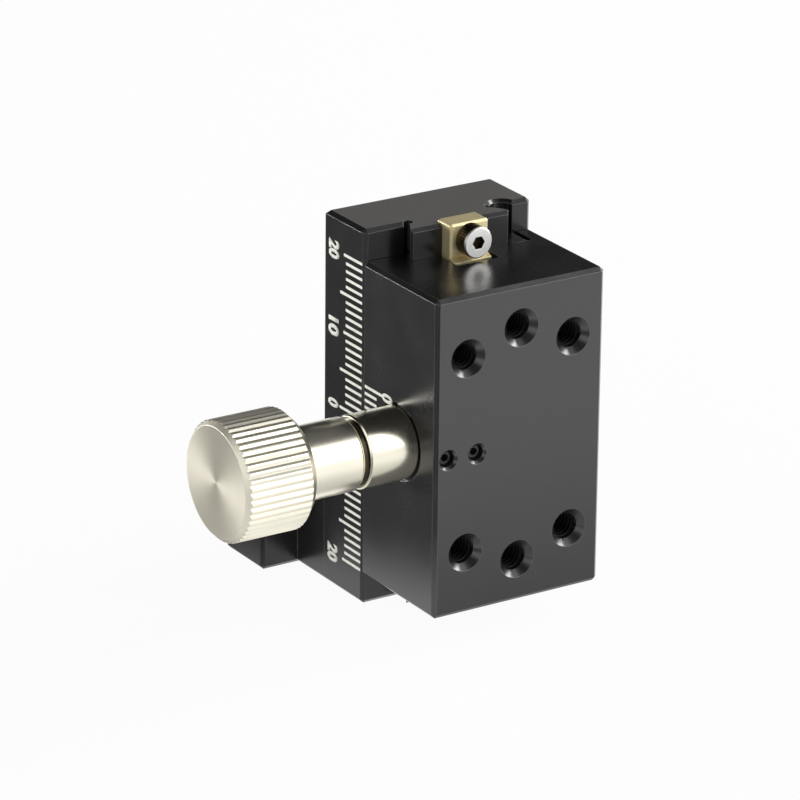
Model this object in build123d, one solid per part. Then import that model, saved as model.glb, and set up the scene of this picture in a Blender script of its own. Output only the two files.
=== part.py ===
from build123d import *
import math
import os

# Dovetail slide with a rack-and-pinion drive, standing upright on a T-shaped foot.
# All sizes are in millimetres. X runs across the slide, Y from the carriage back to the foot,
# and Z up, the way of travel. The origin is the middle of the foot's bolt line, on the bottom face.

# Rail
slide_width = 24.0
rail_height = 49.0
rail_thickness = 9.0
rail_edge = 0.5

# Male dovetail on the rail's front
dovetail_face_width = 14.5
dovetail_depth = 2.8
dovetail_angle = 60.0
dovetail_edge = 0.45
root_relief_radius = 0.6
oil_groove_radius = 1.5
oil_groove_from_middle = 7.7
oil_groove_mouth = 0.4

# Rack, let into the dovetail's front
rack_width = 5.4
rack_length = 49.0
rack_lift = 0.4
rack_slot_depth = 1.1
rack_line_height = 3.3
rack_pad_thickness = 3.0
rack_edge = 0.25
rack_pad_length = 4.0

# Teeth
gear_module = 0.5
pressure_angle = 20.0
tooth_addendum = 1.0
tooth_dedendum = 1.25
pinion_tooth_count = 12
pinion_shift = 0.3
mesh_backlash = 0.08
flank_steps = 4

# Rack screws
rack_screw_diameter = 2.0
rack_screw_length = 6.0
rack_screw_head_diameter = 4.0
rack_screw_head_height = 2.0
rack_screw_socket = 1.5
rack_screw_socket_depth = 1.0

# Carriage
carriage_height = 41.0
carriage_depth = 16.3
carriage_edge = 0.5
slide_gap = 0.12
slide_clearance = 0.03
head_clearance = 0.2

# Tapped holes in the carriage's front
front_hole_diameter = 3.3
front_hole_depth = 7.0
front_hole_mouth = 0.8
corner_hole_spacing_x = 15.0
corner_hole_spacing_z = 25.0
middle_hole_spacing_z = 30.0

# Gib and its set screws
carriage_side_wall = 2.1
gib_thickness = 3.38
gib_front_gap = 0.05
gib_slit = 0.8
gib_screw_diameter = 2.0
gib_screw_count = 3
gib_screw_spacing = 14.0
gib_screw_recess = 0.3

# Pinion shaft
pinion_face = 6.0
pinion_side_gap = 0.1
pinion_bore_gap = 0.35
shaft_diameter = 5.0
shaft_grip = 12.0
journal_diameter = 3.0
journal_length = 5.0
running_clearance = 0.03

# Bushings
sleeve_diameter = 9.2
sleeve_length = 6.7
sleeve_recess_depth = 0.4
sleeve_recess_gap = 0.35
sleeve_edge = 0.2
end_bush_diameter = 5.0
end_bush_length = 5.0
end_bush_end_gap = 0.2

# Washers between sleeve and hub
spring_washer_diameter = 8.2
spring_washer_thickness = 0.65
thrust_washer_diameter = 8.6
thrust_washer_thickness = 0.15
washer_gap = 0.05

# Knob and hub
hub_diameter = 9.2
hub_length = 7.75
hub_edge = 0.2
knob_diameter = 15.0
knob_length = 10.1
knob_front_edge = 0.6
knob_back_edge = 1.2
knurl_count = 50
knurl_depth = 0.2
knob_bore_end_gap = 0.3
knob_screw_diameter = 2.5
knob_screw_recess = 0.2
knob_screw_angle = 150.0

# Set screws in the carriage's front, over the drive bushing
front_screw_diameter = 2.0
front_screw_mouth = 0.35
front_screw_recess = 0.9
front_screw_socket = 0.9
front_screw_end_gap = 0.05
lock_screw_from_side = 6.0
drag_screw_from_side = 1.9
drag_plug_diameter = 1.9
drag_plug_gap = 0.05
set_screw_socket = 1.3
set_screw_socket_depth = 1.2

# Foot
foot_height = 14.0
foot_bar_width = 34.4
foot_bar_depth = 9.0
foot_stem_depth = 6.4
foot_edge = 0.5
foot_hole_diameter = 4.5
foot_hole_spacing = 24.0

# Screws and pins between foot and rail
foot_screw_diameter = 4.0
foot_screw_length = 16.0
foot_screw_head_diameter = 7.0
foot_screw_head_height = 4.0
foot_screw_socket = 3.0
foot_screw_socket_depth = 2.0
foot_screw_spacing = 10.0
foot_screw_passage = 4.5
foot_screw_counterbore = 7.5
foot_screw_sink = 0.4
foot_dowel_diameter = 3.0
foot_dowel_length = 10.0
foot_dowel_share_in_rail = 4.0
foot_dowel_spacing = 19.0
foot_dowel_height = 4.0

# Small fits that every screw, pin and seated piece shares
seat_clearance = 0.02
blind_end_gap = 0.5
drill_point_angle = 118.0
overshoot = 1.0

# Places that follow from the sizes, in the slide's frame: x = 0 is the middle, y = 0 the rail's
# front plane and z = 0 half the rail's height. The carriage is on the side of negative y.
half_width = slide_width / 2
flank_slope = 1 / math.tan(math.radians(dovetail_angle))
flank_clearance = slide_clearance / math.sin(math.radians(dovetail_angle))
dovetail_half_face = dovetail_face_width / 2
dovetail_half_base = dovetail_half_face - dovetail_depth * flank_slope

rack_seat_y = rack_slot_depth - dovetail_depth
rack_pad_y = rack_seat_y - rack_pad_thickness
rack_line_y = rack_seat_y - rack_line_height
rack_pitch = math.pi * gear_module
pressure_slope = math.tan(math.radians(pressure_angle))
rack_tooth_count = int((rack_length - 2 * rack_pad_length) / rack_pitch)
rack_middle_z = rack_lift
rack_root_half_width = rack_pitch / 4 + tooth_dedendum * gear_module * pressure_slope
first_tooth_z = rack_middle_z - (rack_tooth_count - 1) / 2 * rack_pitch
toothed_half_length = (rack_tooth_count - 1) / 2 * rack_pitch + rack_root_half_width

pitch_radius = gear_module * pinion_tooth_count / 2
pinion_tip_radius = pitch_radius + gear_module * (tooth_addendum + pinion_shift)
pinion_root_radius = pitch_radius - gear_module * (tooth_dedendum - pinion_shift)
drive_y = rack_line_y - pitch_radius - gear_module * pinion_shift
drive_bore_radius = pinion_tip_radius + pinion_bore_gap

channel_half_width = pinion_face / 2 + pinion_side_gap
channel_front_y = rack_pad_y - rack_screw_head_height - head_clearance
end_bush_bore_end_x = channel_half_width + end_bush_length + end_bush_end_gap

pocket_side_x = half_width - carriage_side_wall
gib_outer_x = pocket_side_x - gib_slit
gib_front_y = -slide_gap - gib_thickness
pocket_front_y = gib_front_y - gib_front_gap
gib_screw_y = -slide_gap - gib_thickness / 2

lock_screw_x = lock_screw_from_side - half_width
drag_screw_x = drag_screw_from_side - half_width

sleeve_end_x = -half_width - sleeve_length
sleeve_seat_x = sleeve_recess_depth - half_width
hub_face_x = sleeve_end_x - spring_washer_thickness - thrust_washer_thickness - 3 * washer_gap
knob_back_x = hub_face_x - hub_length
knob_front_x = knob_back_x - knob_length
shaft_end_x = hub_face_x - shaft_grip

# The slide's frame in the part's own frame
rail_back_own_y = -foot_bar_depth / 2 - foot_stem_depth
slide_place = Pos(0, rail_back_own_y - rail_thickness, rail_height / 2)


def block(x_low, x_high, y_low, y_high, z_low, z_high):
    """Block between two corners."""
    size = (x_high - x_low, y_high - y_low, z_high - z_low)
    middle = ((x_low + x_high) / 2, (y_low + y_high) / 2, (z_low + z_high) / 2)
    return Pos(*middle) * Box(*size)


def bar_along_x(radius, x_low, x_high, y=drive_y, z=0.0):
    """Round bar along X, on the drive's axis unless a place is given."""
    return Pos((x_low + x_high) / 2, y, z) * Rot(0, 90, 0) * Cylinder(radius, x_high - x_low)


def outline_along_z(points, z_low, z_high):
    """Prism with a straight-sided outline in the XY plane."""
    face = make_face(Polyline(*points, close=True))
    return extrude(Plane.XY.offset(z_low) * face, z_high - z_low)


def drilled_hole(diameter, depth, mouth=0.0):
    """Blind hole down from the origin, with a drill point and a chamfered mouth that opens upwards."""
    radius = diameter / 2
    point = radius / math.tan(math.radians(drill_point_angle / 2))
    points = [
        (0, 0, overshoot),
        (radius + mouth, 0, overshoot),
        (radius + mouth, 0, 0),
        (radius, 0, -mouth),
        (radius, 0, -depth),
        (0, 0, -depth - point),
    ]
    if mouth == 0:
        points.pop(2)
    return revolve(make_face(Polyline(*points, close=True)), Axis.Z)


def hexagon_socket(across_flats, depth):
    """Six-sided recess down from the origin."""
    sketch = RegularPolygon(across_flats / math.sqrt(3), 6)
    return extrude(Plane.XY.offset(-depth) * sketch, depth + overshoot)


def cap_screw(diameter, length, head_diameter, head_height, socket, socket_depth):
    """Socket head screw with its seat at the origin, its head above and its shank below."""
    head = Pos(0, 0, head_height / 2) * Cylinder(head_diameter / 2, head_height)
    head = chamfer(head.edges().group_by(Axis.Z)[-1], head_height * 0.08)
    shank = Pos(0, 0, -length / 2) * Cylinder(diameter / 2, length)
    shank = chamfer(shank.edges().group_by(Axis.Z)[0], diameter * 0.12)
    return head + shank - Pos(0, 0, head_height) * hexagon_socket(socket, socket_depth)


def set_screw(diameter, length, socket, socket_depth):
    """Headless screw with its socket end at the origin and its point below."""
    body = Pos(0, 0, -length / 2) * Cylinder(diameter / 2, length)
    body = chamfer(body.edges().group_by(Axis.Z)[-1], diameter * 0.08)
    return body - hexagon_socket(socket, socket_depth)


def facing_front(x, y, z):
    """Place whose own upward side looks to the front, towards negative y."""
    return Pos(x, y, z) * Rot(90, 0, 0)


def facing_back(x, y, z):
    """Place whose own upward side looks to the back."""
    return Pos(x, y, z) * Rot(-90, 0, 0)


def facing_right(x, y, z):
    """Place whose own upward side looks to the right."""
    return Pos(x, y, z) * Rot(0, 90, 0)


def flank_x(y):
    """Distance of the male dovetail's flank from the middle, at a depth in front of the rail."""
    return dovetail_half_base - y * flank_slope


def rack_screw_places():
    """Middle of each rack pad, on its face."""
    from_middle = (rack_length / 2 + toothed_half_length) / 2
    return [facing_front(0, rack_pad_y, rack_middle_z + side * from_middle) for side in (-1, 1)]


def foot_screw_places():
    """Seat of each foot screw's head, in the foot's counterbores."""
    seat_y = foot_bar_depth / 2 - foot_screw_sink - foot_screw_head_height
    return [facing_back(side * foot_screw_spacing / 2, seat_y, foot_height / 2) for side in (-1, 1)]


def foot_dowel_places():
    """Middle of each dowel's end inside the rail."""
    end_y = rail_back_own_y - foot_dowel_share_in_rail
    return [Pos(side * foot_dowel_spacing / 2, end_y, foot_dowel_height) for side in (-1, 1)]


def make_dovetail_rail():
    """Plate with the male dovetail, the rack slot, two root reliefs and an oil groove beside the gib."""
    half_height = rail_height / 2
    plate = block(-half_width, half_width, 0, rail_thickness, -half_height, half_height)
    back_edges = plate.faces().sort_by(Axis.Y)[-1].edges()
    top_edges = plate.faces().sort_by(Axis.Z)[-1].edges()
    open_edges = [edge for edge in plate.edges() if edge in top_edges or edge not in back_edges]
    plate = chamfer(open_edges, rail_edge)

    tail_points = [
        (-dovetail_half_base, 0),
        (-dovetail_half_face, -dovetail_depth),
        (dovetail_half_face, -dovetail_depth),
        (dovetail_half_base, 0),
        (dovetail_half_base, rail_edge + seat_clearance),
        (-dovetail_half_base, rail_edge + seat_clearance),
    ]
    tail = outline_along_z(tail_points, -half_height, half_height)
    tail = chamfer(tail.faces().sort_by(Axis.Y)[0].edges(), dovetail_edge)
    rail = plate + tail

    reach = half_height + overshoot
    for side in (-1, 1):
        relief_x = side * (dovetail_half_base + root_relief_radius / 3)
        rail -= Pos(relief_x, 0, 0) * Cylinder(root_relief_radius, 2 * reach)
    rail -= Pos(oil_groove_from_middle, 0, 0) * Cylinder(oil_groove_radius, 2 * reach)
    for upside in (0, 180):
        mouth = Pos(0, 0, half_height) * drilled_hole(
            2 * oil_groove_radius, oil_groove_radius, oil_groove_mouth
        )
        rail -= Pos(oil_groove_from_middle, 0, 0) * Rot(upside, 0, 0) * mouth

    slot_half = rack_width / 2 + seat_clearance
    rail -= block(-slot_half, slot_half, -dovetail_depth - overshoot, rack_seat_y, -reach, reach)
    thread_depth = rack_screw_length - rack_pad_thickness + blind_end_gap
    for place in rack_screw_places():
        rail -= place * Pos(0, 0, -rack_pad_thickness) * drilled_hole(
            rack_screw_diameter + 2 * seat_clearance, thread_depth
        )

    own = slide_place * rail
    for place in foot_screw_places():
        own -= place * drilled_hole(
            foot_screw_diameter + 2 * seat_clearance, foot_screw_length + blind_end_gap
        )
    for place in foot_dowel_places():
        own -= place * facing_back(0, foot_dowel_share_in_rail, 0) * drilled_hole(
            foot_dowel_diameter, foot_dowel_share_in_rail + blind_end_gap / 2
        )
    return own


def make_rack():
    """Toothed bar with a flat pad at each end."""
    bottom_z = rack_middle_z - rack_length / 2
    top_z = rack_middle_z + rack_length / 2
    tip_y = rack_line_y - tooth_addendum * gear_module
    root_y = rack_line_y + tooth_dedendum * gear_module
    half_root = rack_root_half_width - mesh_backlash / 4
    half_tip = half_root - (tooth_addendum + tooth_dedendum) * gear_module * pressure_slope

    points = [(0, rack_seat_y, bottom_z), (0, rack_pad_y, bottom_z)]
    points.append((0, rack_pad_y, rack_middle_z - toothed_half_length))
    for index in range(rack_tooth_count):
        middle = first_tooth_z + index * rack_pitch
        points.append((0, root_y, middle - half_root))
        points.append((0, tip_y, middle - half_tip))
        points.append((0, tip_y, middle + half_tip))
        points.append((0, root_y, middle + half_root))
    points.append((0, rack_pad_y, rack_middle_z + toothed_half_length))
    points += [(0, rack_pad_y, top_z), (0, rack_seat_y, top_z)]
    face = make_face(Polyline(*points, close=True))
    rack = extrude(face, rack_width / 2, dir=(1, 0, 0), both=True)
    for group in (0, -1):
        end_face = rack.faces().sort_by(Axis.Z)[group]
        pad_face = rack.faces().filter_by(Plane.XZ).filter_by(
            lambda face: abs(face.center().Y - rack_pad_y) < rack_edge
        ).sort_by(Axis.Z)[group]
        rack = chamfer(end_face.edges() + pad_face.edges().filter_by(Axis.Z), rack_edge)
    for place in rack_screw_places():
        passage = Cylinder(rack_screw_diameter / 2 + seat_clearance, 2 * rack_pad_thickness + overshoot)
        rack -= place * passage
    return slide_place * rack


def make_rack_screws():
    """One socket head screw in each rack pad."""
    screw = cap_screw(
        rack_screw_diameter,
        rack_screw_length,
        rack_screw_head_diameter,
        rack_screw_head_height,
        rack_screw_socket,
        rack_screw_socket_depth,
    )
    return Compound([slide_place * place * screw for place in rack_screw_places()])


def make_mounting_foot():
    """T-shaped block: a stem as wide as the rail and a wider bar with two upright bolt holes."""
    half_bar = foot_bar_depth / 2
    stem = block(-half_width, half_width, rail_back_own_y, 0, 0, foot_height)
    bar = block(-foot_bar_width / 2, foot_bar_width / 2, -half_bar, half_bar, 0, foot_height)
    bar = chamfer(bar.edges(), foot_edge)
    stem = chamfer(stem.edges().filter_by(Axis.Y), foot_edge)
    foot = stem + bar
    for side in (-1, 1):
        passage = Cylinder(foot_hole_diameter / 2, 2 * foot_height + overshoot)
        foot -= Pos(side * foot_hole_spacing / 2, 0, foot_height / 2) * passage
    head_room = foot_screw_head_height + foot_screw_sink
    for place in foot_screw_places():
        foot -= place * Pos(0, 0, (head_room + overshoot) / 2) * Cylinder(
            foot_screw_counterbore / 2, head_room + overshoot
        )
        foot -= place * Pos(0, 0, -foot_screw_length / 2) * Cylinder(
            foot_screw_passage / 2, foot_screw_length + overshoot
        )
    dowel_depth = foot_dowel_length - foot_dowel_share_in_rail + blind_end_gap / 2
    for place in foot_dowel_places():
        mouth = place * Pos(0, foot_dowel_share_in_rail, 0) * Rot(90, 0, 0)
        foot -= mouth * drilled_hole(foot_dowel_diameter, dowel_depth)
    return foot


def make_foot_screws():
    """Two socket head screws through the foot into the rail."""
    screw = cap_screw(
        foot_screw_diameter,
        foot_screw_length,
        foot_screw_head_diameter,
        foot_screw_head_height,
        foot_screw_socket,
        foot_screw_socket_depth,
    )
    return Compound([place * screw for place in foot_screw_places()])


def make_foot_dowels():
    """Two pins across the joint of foot and rail."""
    pin = Rot(90, 0, 0) * Cylinder(foot_dowel_diameter / 2 - seat_clearance / 2, foot_dowel_length)
    middle = Pos(0, foot_dowel_length / 2, 0)
    return Compound([place * middle * pin for place in foot_dowel_places()])


def make_carriage():
    """Block with the female dovetail, the gib's pocket, the rack's channel and the drive bore."""
    half_height = carriage_height / 2
    body = block(-half_width, half_width, -carriage_depth, -slide_gap, -half_height, half_height)
    back_edges = body.faces().sort_by(Axis.Y)[-1].edges()
    outer_edges = [edge for edge in body.edges() if edge not in back_edges]
    body = chamfer(outer_edges, carriage_edge)

    female_front_y = -dovetail_depth - slide_clearance
    opening = [
        (-flank_x(overshoot) - flank_clearance, overshoot),
        (-flank_x(female_front_y) - flank_clearance, female_front_y),
        (flank_x(female_front_y), female_front_y),
        (flank_x(pocket_front_y), pocket_front_y),
        (pocket_side_x, pocket_front_y),
        (pocket_side_x, overshoot),
    ]
    reach = half_height + overshoot
    body -= outline_along_z(opening, -reach, reach)
    body -= block(-channel_half_width, channel_half_width, channel_front_y, 0, -reach, reach)

    body -= bar_along_x(drive_bore_radius, -half_width - overshoot, channel_half_width)
    body -= bar_along_x(
        sleeve_diameter / 2 + sleeve_recess_gap, -half_width - overshoot, sleeve_seat_x
    )
    bush_bore = end_bush_diameter / 2 + seat_clearance
    body -= bar_along_x(bush_bore, 0, end_bush_bore_end_x)

    front_hole = drilled_hole(front_hole_diameter, front_hole_depth, front_hole_mouth)
    places = [(0, side * middle_hole_spacing_z / 2) for side in (-1, 1)]
    for side_x in (-1, 1):
        for side_z in (-1, 1):
            places.append((side_x * corner_hole_spacing_x / 2, side_z * corner_hole_spacing_z / 2))
    for x, z in places:
        body -= facing_front(x, -carriage_depth, z) * front_hole

    for x in (lock_screw_x, drag_screw_x):
        hole = drilled_hole(front_screw_diameter, carriage_depth + drive_y, front_screw_mouth)
        body -= facing_front(x, -carriage_depth, 0) * hole

    for z in gib_screw_heights():
        hole = drilled_hole(gib_screw_diameter, carriage_side_wall + gib_slit / 2)
        body -= facing_right(half_width, gib_screw_y, z) * hole
    return slide_place * body


def gib_screw_heights():
    """Heights of the gib's set screws."""
    return [(index - (gib_screw_count - 1) / 2) * gib_screw_spacing for index in range(gib_screw_count)]


def make_gib():
    """Strip along the dovetail's right flank."""
    half_height = carriage_height / 2
    back_y = -slide_gap
    points = [
        (flank_x(back_y) + flank_clearance, back_y),
        (flank_x(gib_front_y) + flank_clearance, gib_front_y),
        (gib_outer_x, gib_front_y),
        (gib_outer_x, back_y),
    ]
    return slide_place * outline_along_z(points, -half_height, half_height)


def make_gib_screws():
    """Set screws through the right wall, with their points on the gib."""
    length = half_width - gib_outer_x - gib_screw_recess - seat_clearance
    screw = set_screw(
        gib_screw_diameter - 2 * seat_clearance, length, gib_screw_diameter / 2, length / 2
    )
    x = half_width - gib_screw_recess
    return Compound([slide_place * facing_right(x, gib_screw_y, z) * screw for z in gib_screw_heights()])


def make_drive_bushing():
    """Sleeve on the floor of its recess, with a spigot in the bore and a cross hole for the drag plug."""
    sleeve = bar_along_x(sleeve_diameter / 2, sleeve_end_x, sleeve_seat_x)
    sleeve = chamfer(sleeve.edges().group_by(Axis.X)[0], sleeve_edge)
    spigot = bar_along_x(drive_bore_radius - seat_clearance, sleeve_seat_x, -channel_half_width)
    shaft_bore = bar_along_x(
        shaft_diameter / 2 + running_clearance, sleeve_end_x - overshoot, -channel_half_width + overshoot
    )
    cross_hole = facing_front(drag_screw_x, drive_y, 0) * Pos(
        0, 0, drive_bore_radius
    ) * Cylinder(drag_plug_diameter / 2 + drag_plug_gap, 2 * drive_bore_radius)
    return slide_place * (sleeve + spigot - shaft_bore - cross_hole)


def make_front_set_screw(x):
    """Set screw over the drive bushing, sunk in its hole in the carriage's front."""
    length = carriage_depth + drive_y - drive_bore_radius - front_screw_recess - front_screw_end_gap
    screw = set_screw(
        front_screw_diameter - 2 * seat_clearance, length, front_screw_socket, set_screw_socket_depth
    )
    return slide_place * facing_front(x, front_screw_recess - carriage_depth, 0) * screw


def make_drag_plug():
    """Plug between the drag screw and the shaft."""
    shaft_side = shaft_diameter / 2 + running_clearance
    length = drive_bore_radius - shaft_side
    plug = Pos(0, 0, shaft_side + length / 2) * Cylinder(drag_plug_diameter / 2, length)
    return slide_place * facing_front(drag_screw_x, drive_y, 0) * plug


def make_end_bush():
    """Plain bush for the shaft's far journal."""
    end_x = channel_half_width + end_bush_length
    bush = bar_along_x(end_bush_diameter / 2, channel_half_width, end_x)
    bush -= bar_along_x(journal_diameter / 2 + running_clearance, 0, end_x + overshoot)
    return slide_place * bush


def make_washer(diameter, thickness, x_high):
    """Flat ring on the shaft with its right face at x_high."""
    ring = bar_along_x(diameter / 2, x_high - thickness, x_high)
    ring -= bar_along_x(
        shaft_diameter / 2 + running_clearance + washer_gap, x_high - 2 * thickness, x_high + thickness
    )
    return slide_place * ring


def tooth_half_angle(radius):
    """Half the angle that a pinion tooth fills at a radius, from its involute flanks."""
    alpha = math.radians(pressure_angle)
    base_radius = pitch_radius * math.cos(alpha)
    flank = math.acos(min(1.0, base_radius / radius))
    thickness = gear_module * (math.pi / 2 + 2 * pinion_shift * math.tan(alpha)) - mesh_backlash / 2
    at_pitch = thickness / (2 * pitch_radius)
    return at_pitch + (math.tan(alpha) - alpha) - (math.tan(flank) - flank)


def pinion_outline():
    """Outline of the pinion in its own plane, turned so that a gap meets the rack's first tooth."""
    base_radius = pitch_radius * math.cos(math.radians(pressure_angle))
    tooth_angle = 2 * math.pi / pinion_tooth_count
    start_angle = first_tooth_z / pitch_radius

    def at(radius, angle):
        return (radius * math.cos(angle), radius * math.sin(angle))

    edges = []
    radii = [
        base_radius + (pinion_tip_radius - base_radius) * (step / flank_steps) ** 2
        for step in range(flank_steps + 1)
    ]
    half_root = tooth_half_angle(base_radius)
    for index in range(pinion_tooth_count):
        middle = start_angle + (index + 0.5) * tooth_angle
        rising = [at(radius, middle - tooth_half_angle(radius)) for radius in radii]
        falling = [at(radius, middle + tooth_half_angle(radius)) for radius in reversed(radii)]
        root_start = at(pinion_root_radius, middle - half_root)
        root_end = at(pinion_root_radius, middle + half_root)
        next_start = at(pinion_root_radius, middle + tooth_angle - half_root)
        edges.append(Line(root_start, rising[0]))
        edges.append(Spline(*rising))
        edges.append(ThreePointArc(rising[-1], at(pinion_tip_radius, middle), falling[0]))
        edges.append(Spline(*falling))
        edges.append(Line(falling[-1], root_end))
        edges.append(
            ThreePointArc(root_end, at(pinion_root_radius, middle + tooth_angle / 2), next_start)
        )
    return make_face(Wire(edges))


def make_pinion_shaft():
    """Shaft with the pinion cut on it and a thinner journal at its far end."""
    plane = Plane(origin=(-pinion_face / 2, drive_y, 0), x_dir=(0, 1, 0), z_dir=(1, 0, 0))
    pinion = extrude(plane * pinion_outline(), pinion_face)
    shaft = bar_along_x(shaft_diameter / 2, shaft_end_x, -pinion_face / 2)
    journal = bar_along_x(journal_diameter / 2, pinion_face / 2, pinion_face / 2 + journal_length)
    return slide_place * (shaft + pinion + journal)


def make_knob():
    """Knurled knob and hub in one piece, with a blind bore for the shaft and a set screw hole."""
    radius = knob_diameter / 2
    outline = [
        (hub_face_x, 0),
        (hub_face_x, hub_diameter / 2 - hub_edge),
        (hub_face_x - hub_edge, hub_diameter / 2),
        (knob_back_x, hub_diameter / 2),
        (knob_back_x, radius - knob_back_edge),
        (knob_back_x - knob_back_edge, radius),
        (knob_front_x + knob_front_edge, radius),
        (knob_front_x, radius - knob_front_edge),
        (knob_front_x, 0),
    ]
    knob = revolve(make_face(Polyline(*outline, close=True)), Axis.X)
    half_mouth = math.pi * radius / knurl_count * 0.8
    groove = [
        (0, radius - knurl_depth, 0),
        (0, radius + knurl_depth, -2 * half_mouth),
        (0, radius + knurl_depth, 2 * half_mouth),
    ]
    cutter = extrude(make_face(Polyline(*groove, close=True)), knob_length, dir=(-1, 0, 0))
    cutters = [
        Pos(knob_back_x, 0, 0) * Rot(360 / knurl_count * index, 0, 0) * cutter
        for index in range(knurl_count)
    ]
    knob = knob.cut(*cutters)
    bore_end_x = shaft_end_x - knob_bore_end_gap
    knob -= bar_along_x(shaft_diameter / 2 + seat_clearance, bore_end_x, hub_face_x + overshoot, 0)
    screw_hole = Cylinder(knob_screw_diameter / 2, hub_diameter / 2 + overshoot)
    knob -= knob_screw_place() * Pos(0, 0, (overshoot - hub_diameter / 2) / 2) * screw_hole
    return slide_place * Pos(0, drive_y, 0) * knob


def knob_screw_place():
    """Outer end of the hub's set screw, seen from the shaft's axis."""
    x = hub_face_x - hub_length / 2
    return Pos(x, 0, 0) * Rot(-knob_screw_angle, 0, 0) * Pos(0, 0, hub_diameter / 2)


def make_knob_screw():
    """Set screw in the hub, with its point on the shaft."""
    length = hub_diameter / 2 - shaft_diameter / 2 - knob_screw_recess - seat_clearance
    screw = set_screw(
        knob_screw_diameter - 2 * seat_clearance, length, set_screw_socket, length / 2
    )
    return slide_place * Pos(0, drive_y, 0) * knob_screw_place() * Pos(0, 0, -knob_screw_recess) * screw


spring_washer_x = sleeve_end_x - washer_gap
thrust_washer_x = spring_washer_x - spring_washer_thickness - washer_gap

parts = {
    "dovetail_rail": make_dovetail_rail(),
    "rack": make_rack(),
    "rack_screws": make_rack_screws(),
    "mounting_foot": make_mounting_foot(),
    "foot_screws": make_foot_screws(),
    "foot_dowels": make_foot_dowels(),
    "carriage": make_carriage(),
    "gib": make_gib(),
    "gib_screws": make_gib_screws(),
    "drive_bushing": make_drive_bushing(),
    "bushing_lock_screw": make_front_set_screw(lock_screw_x),
    "drag_screw": make_front_set_screw(drag_screw_x),
    "drag_plug": make_drag_plug(),
    "end_bush": make_end_bush(),
    "spring_washer": make_washer(spring_washer_diameter, spring_washer_thickness, spring_washer_x),
    "thrust_washer": make_washer(thrust_washer_diameter, thrust_washer_thickness, thrust_washer_x),
    "pinion_shaft": make_pinion_shaft(),
    "knob": make_knob(),
    "knob_screw": make_knob_screw(),
}

os.makedirs("parts", exist_ok=True)
for name, shape in parts.items():
    export_step(shape, f"parts/{name}.step")
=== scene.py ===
"""Looks, light and camera of a dovetail slide with a rack-and-pinion drive.

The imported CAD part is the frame. It is loaded first, in metres, with +Z up, the carriage towards -Y and the
knob towards -X. New pieces are placed in the slide's own millimetres, whose origin is the middle of the
guide plane at half the rail's height.
"""

import logging
import math
from dataclasses import dataclass, field
from enum import Enum

import bpy
from mathutils import Matrix, Vector


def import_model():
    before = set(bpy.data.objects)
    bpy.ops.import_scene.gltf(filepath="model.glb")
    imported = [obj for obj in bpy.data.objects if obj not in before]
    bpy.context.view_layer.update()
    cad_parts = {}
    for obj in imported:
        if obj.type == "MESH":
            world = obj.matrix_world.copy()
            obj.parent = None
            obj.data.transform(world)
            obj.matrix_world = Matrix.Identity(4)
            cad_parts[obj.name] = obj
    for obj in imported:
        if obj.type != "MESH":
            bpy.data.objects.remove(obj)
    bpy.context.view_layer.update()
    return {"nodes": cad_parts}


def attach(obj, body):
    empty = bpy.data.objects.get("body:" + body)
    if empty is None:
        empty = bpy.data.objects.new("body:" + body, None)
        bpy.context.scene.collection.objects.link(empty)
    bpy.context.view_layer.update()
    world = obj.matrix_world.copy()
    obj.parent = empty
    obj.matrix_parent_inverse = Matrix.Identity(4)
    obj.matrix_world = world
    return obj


log = logging.getLogger("dovetail_slide")

MM = 0.001
SLIDE_ORIGIN = Vector((0.0, -19.9, 24.5)) * MM
DRIVE_AXIS = Vector((0.0, -28.05, 24.5)) * MM
LEFT_SIDE_X = -12.0
FRONT_SIDE_Y = -16.3

Colour = tuple[float, float, float]
# A range of incoming values and the results at its two ends.
Ramp = tuple[float, float, float, float]

# The part of a noise texture's range that its values really fill, wide and narrow.
WIDE_NOISE = (0.3, 0.7)
NARROW_NOISE = (0.35, 0.65)


class Body(Enum):
    """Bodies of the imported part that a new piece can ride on."""

    RAIL = "rail_body"
    CARRIAGE = "carriage_body"


class Slot(Enum):
    """Material slots of the record, handed along with new pieces."""

    ANODISED = "black_anodised"


def at(x: float, y: float, z: float) -> Vector:
    """Give a place of the slide's own millimetres in the frame's metres.

    Args:
        x: Distance to the right of the middle.
        y: Distance behind the guide plane.
        z: Height above half the rail.

    Returns:
        The place in metres.
    """
    return SLIDE_ORIGIN + Vector((x, y, z)) * MM


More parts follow.
